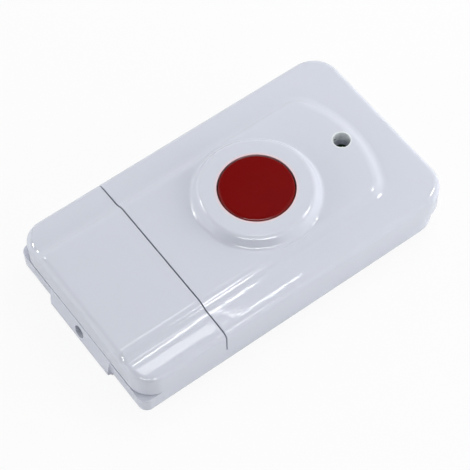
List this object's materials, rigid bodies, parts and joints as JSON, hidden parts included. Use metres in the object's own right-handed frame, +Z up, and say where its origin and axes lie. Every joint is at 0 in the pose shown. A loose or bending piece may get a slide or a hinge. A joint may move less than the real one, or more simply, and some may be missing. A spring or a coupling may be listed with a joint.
{
  "type": "wireless panic button",
  "caption": "Pocket alarm transmitter with a stepped plastic casing, a round push button on a raised mound, a lamp hole, a sliding battery cover and a lanyard lug.",
  "frame": {"origin": "centre of the casing's length and width on the flat rear face", "axes": "+X along the casing towards the lamp end, +Y across it, +Z up out of the rear face through the button"},
  "size_m": [0.0758, 0.0432, 0.0146],
  "materials": {
    "casing": "glossy light grey moulded plastic",
    "button": "satin dark red moulded plastic",
    "board": "green solder resist",
    "dark_plastic": "matt black moulding compound",
    "bright_metal": "tinned or nickel plated metal",
    "steel": "plated steel",
    "copper": "enamelled copper wire",
    "ceramic": "fired ceramic",
    "pale_plastic": "matt white moulded plastic",
    "lamp_lens": "clear resin",
    "cell": "plain sleeve on a steel can"
  },
  "bodies": {
    "housing": {"front_shell": "casing", "rear_shell": "casing", "circuit_board": "board", "switch_base": "dark_plastic", "switch_frame": "bright_metal", "switch_dome": "steel", "switch_legs": "bright_metal", "lamp_base": "pale_plastic", "lamp_lens": "lamp_lens", "encoder_chip": "dark_plastic", "encoder_pins": "bright_metal", "saw_resonator": "bright_metal", "resonator_pins": "bright_metal", "rf_transistor": "dark_plastic", "transistor_pins": "bright_metal", "trimmer_base": "pale_plastic", "trimmer_rotor": "bright_metal", "antenna_loop": "copper", "chip_resistors": "dark_plastic", "chip_capacitors": "ceramic", "battery_cell": "cell", "positive_contact": "bright_metal", "negative_contact": "bright_metal", "case_screws": "steel", "board_screws": "steel"},
    "cover": {"battery_cover": "casing"},
    "button": {"button_cap": "button", "switch_plunger": "dark_plastic"}
  },
  "joints": [
    {"name": "button_press", "type": "slide", "parent": "housing", "child": "button", "axis": [0, 0, -1], "range_m": [0, 0.0003], "stiffness_N_per_m": 5000, "deforming": ["switch_dome"]},
    {"name": "battery_cover_slide", "type": "slide", "parent": "housing", "child": "cover", "axis": [-1, 0, 0], "range_m": [0, 0.022]}
  ]
}
